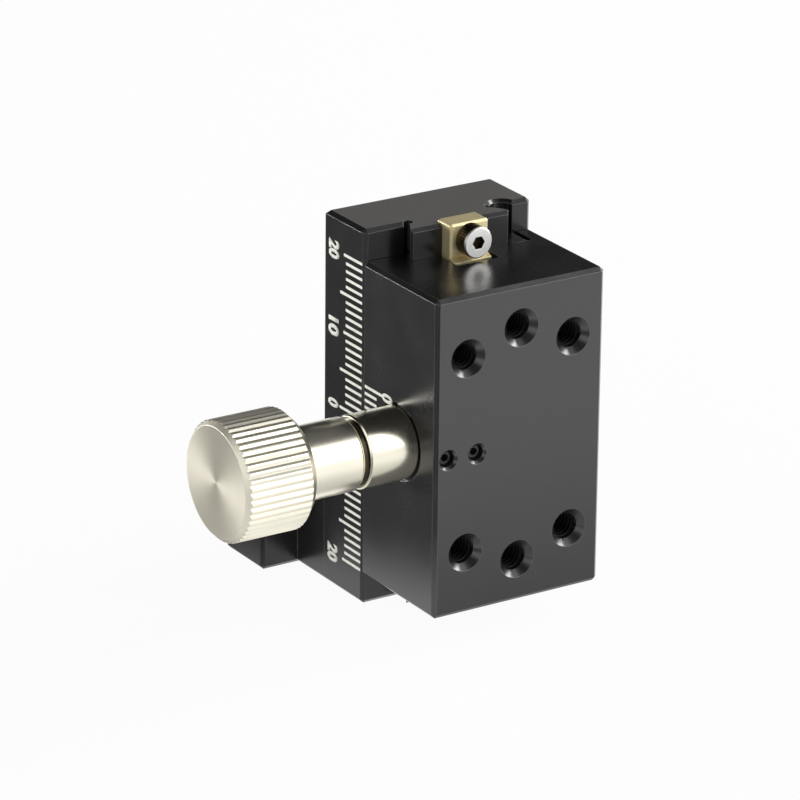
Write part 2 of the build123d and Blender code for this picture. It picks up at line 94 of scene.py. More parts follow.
class Bench:
    """The workbench: small steps of modelling that several pieces share."""

    @staticmethod
    def clear() -> None:
        """Leave edit mode and deselect everything."""
        if bpy.context.object and bpy.context.object.mode != "OBJECT":
            bpy.ops.object.mode_set(mode="OBJECT")
        bpy.ops.object.select_all(action="DESELECT")

    @staticmethod
    def pick(obj: bpy.types.Object) -> None:
        """Make one object the only selected and active one.

        Args:
            obj: Object to pick.
        """
        Bench.clear()
        obj.select_set(True)
        bpy.context.view_layer.objects.active = obj

    @staticmethod
    def edit(obj: bpy.types.Object) -> None:
        """Open one object in edit mode with nothing selected.

        Args:
            obj: Object to open.
        """
        Bench.pick(obj)
        bpy.ops.object.mode_set(mode="EDIT")
        bpy.ops.mesh.select_all(action="DESELECT")

    @staticmethod
    def finish_modifier(obj: bpy.types.Object, kind: str, **settings: object) -> None:
        """Add a modifier with its settings and apply it.

        Args:
            obj: Object that gets the modifier.
            kind: Blender's type name of the modifier.
            **settings: Values of the modifier.
        """
        Bench.pick(obj)
        modifier = obj.modifiers.new(kind.lower(), kind)
        for name, value in settings.items():
            setattr(modifier, name, value)
        bpy.ops.object.modifier_apply(modifier=modifier.name)

    @staticmethod
    def outward(obj: bpy.types.Object) -> None:
        """Merge doubled points and turn every face outwards.

        Args:
            obj: Object to clean.
        """
        Bench.edit(obj)
        bpy.ops.mesh.select_all(action="SELECT")
        bpy.ops.mesh.remove_doubles(threshold=1e-6)
        bpy.ops.mesh.normals_make_consistent(inside=False)
        bpy.ops.object.mode_set(mode="OBJECT")

    @staticmethod
    def settle(obj: bpy.types.Object, place: Matrix) -> None:
        """Move an object's mesh to its place, with the object itself left at the origin.

        Args:
            obj: Object to place.
            place: Place in the frame, with millimetres already turned to metres.
        """
        Bench.pick(obj)
        bpy.ops.object.transform_apply(location=True, rotation=True, scale=True)
        obj.data.transform(place)
        obj.data.update()

    @staticmethod
    def copy(obj: bpy.types.Object, place: Matrix) -> bpy.types.Object:
        """Copy an object with its own mesh to a place.

        Args:
            obj: Object to copy, modelled round the origin.
            place: Place of the copy's mesh.

        Returns:
            The copy.
        """
        twin = obj.copy()
        twin.data = obj.data.copy()
        twin.data.transform(place)
        bpy.context.scene.collection.objects.link(twin)
        return twin

    @staticmethod
    def join(name: str, pieces: list[bpy.types.Object]) -> bpy.types.Object:
        """Join objects into one piece.

        Args:
            name: Name of the joined piece.
            pieces: Objects to join.

        Returns:
            The joined piece.
        """
        Bench.pick(pieces[0])
        for piece in pieces:
            piece.select_set(True)
        if len(pieces) > 1:
            bpy.ops.object.join()
        joined = bpy.context.view_layer.objects.active
        joined.name = name
        joined.data.name = name
        return joined

    @staticmethod
    def repeat(name: str, master: bpy.types.Object, places: list[Matrix]) -> bpy.types.Object:
        """Set one modelled piece at several places and join the copies.

        Args:
            name: Name of the joined piece.
            master: Piece modelled round the origin, removed afterwards.
            places: Place of each copy.

        Returns:
            The joined piece.
        """
        joined = Bench.join(name, [Bench.copy(master, place) for place in places])
        bpy.data.objects.remove(master)
        return joined

    @staticmethod
    def hand_over(
        obj: bpy.types.Object, body: Body, slot: Slot, material: bpy.types.Material
    ) -> None:
        """Give a finished piece its material and its body.

        Args:
            obj: Finished piece.
            body: Body that it rides on.
            slot: Slot of the record for its finish; not used.
            material: Material to show.
        """
        obj.data.materials.clear()
        obj.data.materials.append(material)
        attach(obj, body.value)
        log.info("piece %s: %d faces on %s", obj.name, len(obj.data.polygons), body.value)


class ShaderTree:
    """A node tree with short calls for adding and joining nodes."""

    def __init__(self, tree: bpy.types.NodeTree) -> None:
        """Keep the tree that the calls work on.

        Args:
            tree: Node tree of a material, a world or a group.
        """
        self.tree = tree

    def add(self, kind: str, inputs: dict[str, object] | None = None, **settings: object) -> bpy.types.Node:
        """Add a node.

        Args:
            kind: Blender's type name of the node, without its Shader prefix.
            inputs: A value or another node's output for each named or numbered input.
            **settings: Properties of the node itself.

        Returns:
            The new node.
        """
        node = self.tree.nodes.new(kind)
        for name, value in settings.items():
            setattr(node, name, value)
        for name, value in (inputs or {}).items():
            if isinstance(value, bpy.types.NodeSocket):
                self.tree.links.new(value, node.inputs[name])
            else:
                node.inputs[name].default_value = value
        return node

    def maths(self, operation: str, first: object, second: object = 0.0) -> bpy.types.NodeSocket:
        """Add one sum of two values.

        Args:
            operation: Blender's name of the sum.
            first: First value or output.
            second: Second value or output.

        Returns:
            The result's output.
        """
        node = self.add("ShaderNodeMath", {0: first, 1: second}, operation=operation)
        return node.outputs[0]

    def fold(self, operation: str, *values: object) -> bpy.types.NodeSocket:
        """Combine several values one after another with the same sum.

        Args:
            operation: Blender's name of the sum.
            *values: Values or outputs.

        Returns:
            The result's output.
        """
        result = values[0]
        for value in values[1:]:
            result = self.maths(operation, result, value)
        return result

    def feed(self, node: bpy.types.Node, sockets: dict[str, bpy.types.NodeSocket]) -> None:
        """Join outputs to a node's named inputs.

        Args:
            node: Node that takes them.
            sockets: The output for each input's name.
        """
        for name, socket in sockets.items():
            self.tree.links.new(socket, node.inputs[name])

    def rubbed_edges(
        self, softened: bpy.types.NodeSocket, full_at: float, share: float
    ) -> bpy.types.NodeSocket:
        """Mask the edges, where a softened normal turns away from the flat one.

        Args:
            softened: Normal with its edges rounded.
            full_at: Cosine of the turn at which the mask is full.
            share: Value of the mask where it is full.

        Returns:
            The mask's output.
        """
        flat = self.add("ShaderNodeNewGeometry").outputs["Normal"]
        turn = self.add("ShaderNodeVectorMath", {0: softened, 1: flat}, operation="DOT_PRODUCT")
        return self.spread(turn.outputs["Value"], full_at, 0.99, share, 0.0)

    def spread(
        self, value: object, low: float, high: float, to_low: float, to_high: float
    ) -> bpy.types.NodeSocket:
        """Map a value from one range to another, held at both ends.

        Args:
            value: Output to map.
            low: Start of the range that comes in.
            high: End of the range that comes in.
            to_low: Result at the start.
            to_high: Result at the end.

        Returns:
            The mapped output.
        """
        inputs = {"Value": value, "From Min": low, "From Max": high, "To Min": to_low, "To Max": to_high}
        return self.add("ShaderNodeMapRange", inputs).outputs[0]

    def vary(
        self, noise: bpy.types.NodeSocket, middle: float, below: float, above: float
    ) -> bpy.types.NodeSocket:
        """Let a value vary with a noise.

        Args:
            noise: Output of a noise texture.
            middle: Value to vary.
            below: How far it goes down.
            above: How far it goes up.

        Returns:
            The varied output.
        """
        return self.spread(noise, *WIDE_NOISE, middle - below, middle + above)

    def blend_colour(self, share: object, first: object, second: object) -> bpy.types.NodeSocket:
        """Mix two colours.

        Args:
            share: Share of the second colour.
            first: First colour or output.
            second: Second colour or output.

        Returns:
            The mixed colour's output.
        """
        node = self.add("ShaderNodeMix", {0: share, 6: first, 7: second}, data_type="RGBA")
        return node.outputs[2]


class Effects:
    """Node groups for the effects that several finishes share, each built once."""

    def __init__(self) -> None:
        """Build every group."""
        self.grain = self._build_grain()
        self.turned = self._build_turned()
        self.milled = self._build_milled()

    @staticmethod
    def _start(name: str, inputs: dict[str, tuple[str, object]], outputs: dict[str, str]) -> ShaderTree:
        """Make an empty group with its sockets.

        Args:
            name: Name of the group.
            inputs: Socket type and first value of each input.
            outputs: Socket type of each output.

        Returns:
            The group's tree.
        """
        tree = bpy.data.node_groups.new(name, "ShaderNodeTree")
        for label, (kind, value) in inputs.items():
            socket = tree.interface.new_socket(label, in_out="INPUT", socket_type=kind)
            socket.default_value = value
        for label, kind in outputs.items():
            tree.interface.new_socket(label, in_out="OUTPUT", socket_type=kind)
        return ShaderTree(tree)

    def _build_grain(self) -> bpy.types.NodeTree:
        """Build the fine grain of a blasted or cast skin, with broader cloudy patches.

        Returns:
            The group, which puts out a fine height and a broad mask.
        """
        shader = self._start(
            "fine_grain",
            {"Grain Scale": ("NodeSocketFloat", 6000.0), "Cloud Scale": ("NodeSocketFloat", 160.0)},
            {"Height": "NodeSocketFloat", "Cloud": "NodeSocketFloat", "Speck": "NodeSocketFloat"},
        )
        start = shader.add("NodeGroupInput")
        place = shader.add("ShaderNodeTexCoord").outputs["Object"]
        fine = shader.add(
            "ShaderNodeTexNoise",
            {"Vector": place, "Scale": start.outputs[0], "Detail": 3.0, "Roughness": 0.6},
        )
        cloud = shader.add("ShaderNodeTexNoise", {"Vector": place, "Scale": start.outputs[1], "Detail": 4.0})
        speck = shader.spread(fine.outputs[0], 0.62, 0.78, 0.0, 1.0)
        end = shader.add("NodeGroupOutput")
        shader.feed(end, {"Height": fine.outputs[0], "Cloud": cloud.outputs[0], "Speck": speck})
        return shader.tree

    def _build_turned(self) -> bpy.types.NodeTree:
        """Build the fine rings that a lathe leaves round the drive axis, on faces and round walls alike.

        Returns:
            The group, which puts out the rings' height and a mask of their shade.
        """
        shader = self._start(
            "turned_rings",
            {"Ring Scale": ("NodeSocketFloat", 9000.0)},
            {"Height": "NodeSocketFloat", "Shade": "NodeSocketFloat"},
        )
        start = shader.add("NodeGroupInput")
        place = shader.add("ShaderNodeTexCoord").outputs["Object"]
        parts = shader.add("ShaderNodeSeparateXYZ", {0: place})
        across = shader.maths("SUBTRACT", parts.outputs[1], DRIVE_AXIS.y)
        height = shader.maths("SUBTRACT", parts.outputs[2], DRIVE_AXIS.z)
        squares = [shader.maths("MULTIPLY", side, side) for side in (across, height)]
        radius = shader.maths("SQRT", shader.maths("ADD", *squares))
        along = shader.maths("ADD", radius, shader.maths("MULTIPLY", parts.outputs[0], 0.8))
        rings = shader.add(
            "ShaderNodeTexNoise",
            {"W": along, "Scale": start.outputs[0], "Detail": 2.0, "Roughness": 0.7},
            noise_dimensions="1D",
        )
        broad = shader.add(
            "ShaderNodeTexNoise", {"W": along, "Scale": 250.0, "Detail": 1.0}, noise_dimensions="1D"
        )
        end = shader.add("NodeGroupOutput")
        shader.feed(end, {"Height": rings.outputs[0], "Shade": broad.outputs[0]})
        return shader.tree

    def _build_milled(self) -> bpy.types.NodeTree:
        """Build the straight fine lines that milling leaves along one direction.

        Returns:
            The group, which puts out the lines' height and a broad mask.
        """
        shader = self._start(
            "milled_lines",
            {"Stretch": ("NodeSocketVector", (400.0, 9000.0, 9000.0))},
            {"Height": "NodeSocketFloat", "Cloud": "NodeSocketFloat"},
        )
        start = shader.add("NodeGroupInput")
        place = shader.add("ShaderNodeTexCoord").outputs["Object"]
        scaled = shader.add("ShaderNodeVectorMath", {0: place, 1: start.outputs[0]}, operation="MULTIPLY")
        lines = shader.add("ShaderNodeTexNoise", {"Vector": scaled.outputs[0], "Scale": 1.0, "Detail": 3.0})
        cloud = shader.add("ShaderNodeTexNoise", {"Vector": place, "Scale": 500.0, "Detail": 3.0})
        end = shader.add("NodeGroupOutput")
        shader.feed(end, {"Height": lines.outputs[0], "Cloud": cloud.outputs[0]})
        return shader.tree


def start_material(name: str) -> tuple[bpy.types.Material, ShaderTree, bpy.types.Node]:
    """Make an empty material with a Principled surface.

    Args:
        name: Name of the material.

    Returns:
        The material, its tree and the Principled node.
    """
    material = bpy.data.materials.new(name)
    material.use_nodes = True
    material.node_tree.nodes.clear()
    shader = ShaderTree(material.node_tree)
    surface = shader.add("ShaderNodeBsdfPrincipled")
    shader.add("ShaderNodeOutputMaterial", {"Surface": surface.outputs[0]})
    return material, shader, surface


@dataclass(frozen=True)
class AnodisedFinish:
    """Black anodised aluminium over a fine bead-blasted skin."""

    name: str
    # Colour of the up-facing faces: a painted top shade, set apart from the sides.
    top_colour: Colour
    top_roughness: float
    colour: Colour = (0.013, 0.013, 0.0132)
    worn_colour: Colour = (0.020, 0.020, 0.0197)
    edge_colour: Colour = (0.16, 0.16, 0.155)
    roughness: float = 0.25
    grain_scale: float = 5200.0
    grain_depth: float = 0.10
    edge_radius: float = 0.12 * MM
    edge_share: float = 0.7
    gloss: float = 0.75

    def build(self, effects: Effects) -> bpy.types.Material:
        """Build the material.

        Args:
            effects: The shared node groups.

        Returns:
            The material.
        """
        material, shader, surface = start_material(self.name)
        grain = shader.add("ShaderNodeGroup", node_tree=effects.grain)
        grain.inputs["Grain Scale"].default_value = self.grain_scale
        cloud = shader.spread(grain.outputs["Cloud"], *WIDE_NOISE, 0.0, 0.35)
        speck = shader.maths("MULTIPLY", grain.outputs["Speck"], 0.6)
        share = shader.maths("MAXIMUM", cloud, speck)
        side = shader.blend_colour(share, (*self.colour, 1.0), (*self.worn_colour, 1.0))
        facing = shader.add("ShaderNodeTexCoord").outputs["Normal"]
        upright = shader.add("ShaderNodeSeparateXYZ", {0: facing}).outputs[2]
        # Up-facing faces take their own colour, lighter on the rail and darker on the carriage than the
        # sides, set to how bright the tops look under the lamps: a painted top shade, beside the tops' own
        # roughness.
        on_top = shader.spread(upright, 0.9, 0.98, 0.0, 1.0)
        worn_top_shade = tuple(value * 1.25 for value in self.top_colour)
        top = shader.blend_colour(share, (*self.top_colour, 1.0), (*worn_top_shade, 1.0))
        colour = shader.blend_colour(on_top, side, top)
        edges = shader.add("ShaderNodeBevel", {"Radius": self.edge_radius}, samples=6)
        # Pale edges on the anodised skin are wear.
        edge_wear_and_sheen = shader.rubbed_edges(edges.outputs[0], 0.94, self.edge_share)
        colour = shader.blend_colour(edge_wear_and_sheen, colour, (*self.edge_colour, 1.0))
        level = shader.spread(on_top, 0.0, 1.0, self.roughness, self.top_roughness)
        rough = shader.maths("ADD", level, shader.spread(grain.outputs["Cloud"], *WIDE_NOISE, -0.04, 0.04))
        bump = shader.add(
            "ShaderNodeBump",
            {"Height": grain.outputs["Height"], "Distance": 0.02 * MM, "Strength": self.grain_depth,
             "Normal": edges.outputs[0]},
        )
        shader.feed(surface, {"Base Color": colour, "Roughness": rough, "Normal": bump.outputs[0]})
        surface.inputs["Specular IOR Level"].default_value = self.gloss
        return material


@dataclass(frozen=True)
class TurnedFinish:
    """Bare or plated metal turned on a lathe round the drive axis."""

    name: str
    colour: Colour
    shade: Colour
    roughness: float
    anisotropy: float
    ring_scale: float = 8000.0
    ring_depth: float = 0.05
    # Places along X in metres. To the right of the first the metal is smoother, and to the left of the
    # second it is rougher. The values that stand here lie outside the slide.
    smooth_from: float = 1.0
    smooth_change: float = -0.1
    face_until: float = -1.0
    face_change: float = 0.12

    def build(self, effects: Effects) -> bpy.types.Material:
        """Build the material.

        Args:
            effects: The shared node groups.

        Returns:
            The material.
        """
        material, shader, surface = start_material(self.name)
        rings = shader.add("ShaderNodeGroup", node_tree=effects.turned)
        rings.inputs["Ring Scale"].default_value = self.ring_scale
        share = shader.spread(rings.outputs["Shade"], *NARROW_NOISE, 0.0, 0.6)
        colour = shader.blend_colour(share, (*self.colour, 1.0), (*self.shade, 1.0))
        level = shader.vary(rings.outputs["Height"], self.roughness, 0.03, 0.04)
        place = shader.add("ShaderNodeTexCoord").outputs["Object"]
        along = shader.add("ShaderNodeSeparateXYZ", {0: place}).outputs[0]
        change = shader.spread(along, self.smooth_from - 0.1 * MM, self.smooth_from, 0.0, self.smooth_change)
        at_face = shader.spread(along, self.face_until, self.face_until + 0.1 * MM, self.face_change, 0.0)
        rough = shader.maths("ADD", level, shader.maths("ADD", change, at_face))
        edges = shader.add("ShaderNodeBevel", {"Radius": 0.1 * MM}, samples=6)
        bump = shader.add(
            "ShaderNodeBump",
            {"Height": rings.outputs["Height"], "Distance": 0.004 * MM, "Strength": self.ring_depth,
             "Normal": edges.outputs[0]},
        )
        tangent = shader.add("ShaderNodeTangent", direction_type="RADIAL", axis="X")
        shader.feed(surface, {"Base Color": colour, "Roughness": rough, "Normal": bump.outputs[0]})
        shader.feed(surface, {"Tangent": tangent.outputs[0]})
        surface.inputs["Metallic"].default_value = 1.0
        surface.inputs["Anisotropic"].default_value = self.anisotropy
        return material


@dataclass(frozen=True)
class MilledFinish:
    """Bare or blackened metal with fine tool lines in one direction."""

    name: str
    colour: Colour
    shade: Colour
    roughness: float
    metallic: float = 1.0
    stretch: tuple[float, float, float] = (900.0, 7000.0, 7000.0)
    line_depth: float = 0.25
    edge_share: float = 0.0

    def build(self, effects: Effects) -> bpy.types.Material:
        """Build the material.

        Args:
            effects: The shared node groups.

        Returns:
            The material.
        """
        material, shader, surface = start_material(self.name)
        lines = shader.add("ShaderNodeGroup", node_tree=effects.milled)
        lines.inputs["Stretch"].default_value = self.stretch
        share = shader.spread(lines.outputs["Cloud"], *NARROW_NOISE, 0.0, 0.8)
        skin = shader.blend_colour(share, (*self.colour, 1.0), (*self.shade, 1.0))
        rough = shader.vary(lines.outputs["Height"], self.roughness, 0.05, 0.07)
        edges = shader.add("ShaderNodeBevel", {"Radius": 0.12 * MM}, samples=6)
        edge_wear_and_sheen = shader.rubbed_edges(edges.outputs[0], 0.93, self.edge_share)
        # Pale edges: on brass a painted highlight along the edges; the other milled finishes give them no
        # share.
        pale = tuple(min(1.0, value * 1.1 + 0.08) for value in self.colour)
        colour = shader.blend_colour(edge_wear_and_sheen, skin, (*pale, 1.0))
        bump = shader.add(
            "ShaderNodeBump",
            {"Height": lines.outputs["Height"], "Distance": 0.006 * MM, "Strength": self.line_depth,
             "Normal": edges.outputs[0]},
        )
        shader.feed(surface, {"Base Color": colour, "Roughness": rough, "Normal": bump.outputs[0]})
        surface.inputs["Metallic"].default_value = self.metallic
        return material


@dataclass(frozen=True)
class HeadFinish:
    """Socket head screw with a turned face and a darker knurled wall round it, painted darker as shade, with
    deeper painted shade in the knurl's grooves and in the socket.
    """

    name: str
    face_colour: Colour
    wall_colour: Colour
    roughness: float = 0.45
    knurl_turns: float = 36.0
    face_place: float = -26.45 * MM

    def build(self, effects: Effects) -> bpy.types.Material:
        """Build the material.

        Args:
            effects: The shared node groups.

        Returns:
            The material.
        """
        material, shader, surface = start_material(self.name)
        facing = shader.add("ShaderNodeTexCoord").outputs["Normal"]
        parts = shader.add("ShaderNodeSeparateXYZ", {0: facing})
        towards = shader.maths("ABSOLUTE", parts.outputs[1])
        place = shader.add("ShaderNodeTexCoord").outputs["Object"]
        depth = shader.add("ShaderNodeSeparateXYZ", {0: place}).outputs[1]
        # Deeper than the face, the socket takes the wall's colour: painted shade in the socket.
        outside = shader.spread(depth, self.face_place, self.face_place + 0.1 * MM, 1.0, 0.0)
        on_face = shader.maths("MULTIPLY", outside, shader.spread(towards, 0.6, 0.85, 0.0, 1.0))
        angle = shader.maths("ARCTAN2", parts.outputs[2], parts.outputs[0])
        wave = shader.maths("SINE", shader.maths("MULTIPLY", angle, self.knurl_turns))
        grain = shader.add("ShaderNodeGroup", node_tree=effects.grain)
        grain.inputs["Cloud Scale"].default_value = 1500.0
        share = shader.spread(grain.outputs["Cloud"], *NARROW_NOISE, 0.0, 0.3)
        worn = tuple(value * 0.85 for value in self.face_colour)
        face = shader.blend_colour(share, (*self.face_colour, 1.0), (*worn, 1.0))
        # The knurl's grooves are painted darker still: painted shade in the grooves.
        groove_shade = tuple(value * 0.3 for value in self.wall_colour)
        groove_shade_mask = shader.spread(wave, -0.6, 0.4, 1.0, 0.0)
        wall = shader.blend_colour(groove_shade_mask, (*self.wall_colour, 1.0), (*groove_shade, 1.0))
        colour = shader.blend_colour(on_face, wall, face)
        rough = shader.vary(grain.outputs["Height"], self.roughness, 0.03, 0.03)
        edges = shader.add("ShaderNodeBevel", {"Radius": 0.1 * MM}, samples=6)
        shader.feed(surface, {"Base Color": colour, "Roughness": rough, "Normal": edges.outputs[0]})
        surface.inputs["Metallic"].default_value = 1.0
        return material


@dataclass(frozen=True)
class PaintFinish:
    """Opaque paint or plastic with a faint unevenness, as on printed lines and small moulded pieces."""

    name: str
    colour: Colour
    thin_colour: Colour
    roughness: float = 0.6

    def build(self, effects: Effects) -> bpy.types.Material:
        """Build the material.

        Args:
            effects: The shared node groups.

        Returns:
            The material.
        """
        material, shader, surface = start_material(self.name)
        grain = shader.add("ShaderNodeGroup", node_tree=effects.grain)
        grain.inputs["Cloud Scale"].default_value = 1800.0
        share = shader.spread(grain.outputs["Cloud"], 0.4, 0.75, 0.0, 0.7)
        colour = shader.blend_colour(share, (*self.colour, 1.0), (*self.thin_colour, 1.0))
        rough = shader.vary(grain.outputs["Height"], self.roughness, 0.08, 0.08)
        bump = shader.add(
            "ShaderNodeBump", {"Height": grain.outputs["Height"], "Distance": 0.01 * MM, "Strength": 0.2}
        )
        shader.feed(surface, {"Base Color": colour, "Roughness": rough, "Normal": bump.outputs[0]})
        return material


@dataclass
class Palette:
    """Every finish of the slide, built once, and the CAD nodes that wear each of them."""

    effects: Effects = field(default_factory=Effects)
    # The first colour of each anodised finish is its painted top shade: light on the rail's top, dark on the
    # carriage's top.
    anodised: AnodisedFinish = AnodisedFinish("black_blasted_skin", (0.105, 0.102, 0.095), 0.5, gloss=0.5)
    ground: AnodisedFinish = AnodisedFinish("black_ground_skin", (0.006, 0.006, 0.0066), 0.28, gloss=0.85)
    # The thread skin is darker than the carriage's own skin and has no pale edges: painted shade in the
    # tapped holes.
    thread: AnodisedFinish = AnodisedFinish(
        "thread_skin_with_painted_shade", (0.006, 0.006, 0.006), 0.35, colour=(0.006, 0.006, 0.006),
        worn_colour=(0.01, 0.01, 0.01), edge_colour=(0.006, 0.006, 0.006), roughness=0.45, gloss=0.2,
    )
    nickel: TurnedFinish = TurnedFinish(
        "turned_nickel", (0.83, 0.795, 0.66), (0.80, 0.765, 0.63), 0.20, 0.3, ring_depth=0.008
    )
    satin: TurnedFinish = TurnedFinish(
        "satin_knurled_nickel", (0.88, 0.84, 0.71), (0.84, 0.80, 0.67), 0.33, 0.45, ring_depth=0.02,
        smooth_from=-27.3 * MM, face_until=-36.85 * MM,
    )
    steel: TurnedFinish = TurnedFinish("turned_steel", (0.56, 0.56, 0.57), (0.47, 0.47, 0.48), 0.2, 0.4)
    brass: MilledFinish = MilledFinish(
        "milled_brass", (1.0, 0.87, 0.52), (0.98, 0.81, 0.44), 0.42, metallic=0.7,
        stretch=(7000.0, 7000.0, 900.0), line_depth=0.1, edge_share=0.6,
    )
    screw: HeadFinish = HeadFinish("bright_screw_steel", (1.0, 0.99, 0.96), (0.16, 0.12, 0.08), 0.34)
    dark_screw: MilledFinish = MilledFinish(
        "black_oxide_steel", (0.030, 0.030, 0.032), (0.055, 0.053, 0.05), 0.32, metallic=0.35
    )
    dark_ring: MilledFinish = MilledFinish(
        "dark_spring_steel", (0.035, 0.028, 0.022), (0.06, 0.045, 0.03), 0.3, metallic=0.6
    )
    bronze: MilledFinish = MilledFinish("plain_bronze", (0.64, 0.42, 0.22), (0.5, 0.32, 0.16), 0.35)
    acetal: PaintFinish = PaintFinish("natural_acetal", (0.78, 0.77, 0.73), (0.7, 0.69, 0.65), 0.5)
    ink: PaintFinish = PaintFinish("white_scale_ink", (0.94, 0.93, 0.85), (0.80, 0.79, 0.71), 0.6)
    built: dict[str, bpy.types.Material] = field(default_factory=dict)

    def material(self, finish: str) -> bpy.types.Material:
        """Give a finish's material, building it the first time.

        Args:
            finish: Name of one of the finishes above.

        Returns:
            The material.
        """
        if finish not in self.built:
            self.built[finish] = getattr(self, finish).build(self.effects)
        return self.built[finish]

    def dress_nodes(self, nodes: dict[str, bpy.types.Object]) -> None:
        """Give every CAD node its finish.

        Args:
            nodes: CAD nodes by name.
        """
        worn = {
            "anodised": ("dovetail_rail", "mounting_foot"),
            "ground": ("carriage", "gib"),
            "satin": ("knob",),
            "nickel": ("drive_bushing",),
            "steel": ("pinion_shaft", "foot_dowels"),
            "brass": ("rack", "thrust_washer"),
            "screw": ("rack_screws",),
            "dark_screw": ("foot_screws", "gib_screws", "bushing_lock_screw", "drag_screw", "knob_screw"),
            "dark_ring": ("spring_washer",),
            "bronze": ("end_bush",),
            "acetal": ("drag_plug",),
        }
        for finish, names in worn.items():
            for name in names:
                nodes[name].data.materials.clear()
                nodes[name].data.materials.append(self.material(finish))
                log.info("node %s wears %s", name, finish)


@dataclass
class Scale:
    """Printed scale on the rail's left side and the vernier on the carriage's left side, in millimetres."""

    palette: Palette
    reach: int = 20
    figure_step: int = 10
    long_step: int = 5
    line_width: float = 0.38
    line_corner: float = 0.09
    ink_height: float = 0.012
    start_y: float = 0.45
    short_end_y: float = 4.2
    figured_end_y: float = 4.7
    long_end_y: float = 5.5
    figure_y: float = 7.0
    figure_height: float = 2.4
    figure_width: float = 1.15
    figure_gap: float = 0.12
    figure_boldness: float = 0.05
    vernier_start_y: float = -0.3
    vernier_zero_z: float = 4.6
    vernier_pitch: float = 0.9
    vernier_lines: int = 11
    vernier_short: float = 2.7
    vernier_long: float = 3.9
    vernier_figure_y: float = -5.4

    def printed_line(self, length: float) -> bpy.types.Object:
        """Model one printed line along Y round the origin, a thin pad with softened corners.

        Args:
            length: Length of the line in millimetres.

        Returns:
            The line, in metres, with its face towards -X.
        """
        Bench.clear()
        bpy.ops.mesh.primitive_plane_add(size=1.0, rotation=(0.0, -math.pi / 2, 0.0))
        line = bpy.context.object
        line.scale = (self.line_width * MM, length * MM, 1.0)
        bpy.ops.object.transform_apply(location=True, rotation=True, scale=True)
        Bench.edit(line)
        bpy.ops.mesh.select_all(action="SELECT")
        bpy.ops.mesh.bevel(offset=self.line_corner * MM, segments=2, affect="VERTICES")
        bpy.ops.mesh.select_all(action="SELECT")
        outwards = (-self.ink_height * MM, 0.0, 0.0)
        bpy.ops.mesh.extrude_region_move(TRANSFORM_OT_translate={"value": outwards})
        bpy.ops.object.mode_set(mode="OBJECT")
        Bench.outward(line)
        return line

    def figure(self, words: str) -> bpy.types.Object:
        """Model a figure of the scale that reads downwards, with its top towards the front.

        Args:
            words: The plain number.

        Returns:
            The figure round the origin, in metres, with its face towards -X.
        """
        Bench.clear()
        bpy.ops.object.text_add()
        text = bpy.context.object
        text.data.body = words
        text.data.align_x = "CENTER"
        text.data.align_y = "CENTER"
        text.data.offset = self.figure_boldness
        bpy.ops.object.convert(target="MESH")
        Bench.finish_modifier(text, "SOLIDIFY", thickness=self.ink_height * 0.4, offset=1.0)
        points = text.data.vertices
        lows = [min(point.co[axis] for point in points) for axis in (0, 1, 2)]
        highs = [max(point.co[axis] for point in points) for axis in (0, 1, 2)]
        sizes = [high - low for low, high in zip(lows, highs)]
        width = self.figure_width * len(words) + self.figure_gap * (len(words) - 1)
        target = (width, self.figure_height, self.ink_height)
        centre = Matrix.Translation([-(low + high) / 2 for low, high in zip(lows, highs)])
        stretch = Matrix.Diagonal([want * MM / size for want, size in zip(target, sizes)] + [1.0])
        turn = Matrix(((0, 0, -1, 0), (0, -1, 0, 0), (-1, 0, 0, 0), (0, 0, 0, 1)))
        text.data.transform(turn @ stretch @ centre)
        Bench.outward(text)
        return text

    @staticmethod
    def place_on_side(y: float, z: float) -> Matrix:
        """Give a place on the left side.

        Args:
            y: Distance behind the guide plane in millimetres.
            z: Height above half the rail in millimetres.

        Returns:
            The place in the frame.
        """
        return Matrix.Translation(at(LEFT_SIDE_X, y, z))

    def build_lines(self, name: str, ends: list[tuple[float, float, float]]) -> bpy.types.Object:
        """Build printed lines on the left side as one piece.

        Args:
            name: Name of the piece.
            ends: Height, first y and last y of each line.

        Returns:
            The piece.
        """
        pieces = []
        for z, first, last in ends:
            line = self.printed_line(abs(last - first))
            Bench.settle(line, self.place_on_side((first + last) / 2, z))
            pieces.append(line)
        return Bench.join(name, pieces)

    def build(self) -> None:
        """Build the scale with its figures and the vernier with its zero."""
        ink = self.palette.material("ink")
        ends = []
        for step in range(-self.reach, self.reach + 1):
            end = self.short_end_y
            if step % self.figure_step == 0 and step != 0:
                end = self.figured_end_y
            elif step % self.long_step == 0:
                end = self.long_end_y
            ends.append((float(step), self.start_y, end))
        Bench.hand_over(self.build_lines("scale_lines", ends), Body.RAIL, Slot.ANODISED, ink)

        figures = []
        for step in range(-self.reach, self.reach + 1, self.figure_step):
            figure = self.figure(str(abs(step)))
            Bench.settle(figure, self.place_on_side(self.figure_y, float(step)))
            figures.append(figure)
        Bench.hand_over(Bench.join("scale_figures", figures), Body.RAIL, Slot.ANODISED, ink)

        first = self.vernier_start_y
        ends = []
        for index in range(self.vernier_lines):
            length = self.vernier_long if index % self.long_step == 0 else self.vernier_short
            ends.append((self.vernier_zero_z - index * self.vernier_pitch, first, first - length))
        Bench.hand_over(self.build_lines("vernier_lines", ends), Body.CARRIAGE, Slot.ANODISED, ink)
        zero = self.figure("0")
        Bench.settle(zero, self.place_on_side(self.vernier_figure_y, self.vernier_zero_z))
        Bench.hand_over(Bench.join("vernier_figure", [zero]), Body.CARRIAGE, Slot.ANODISED, ink)


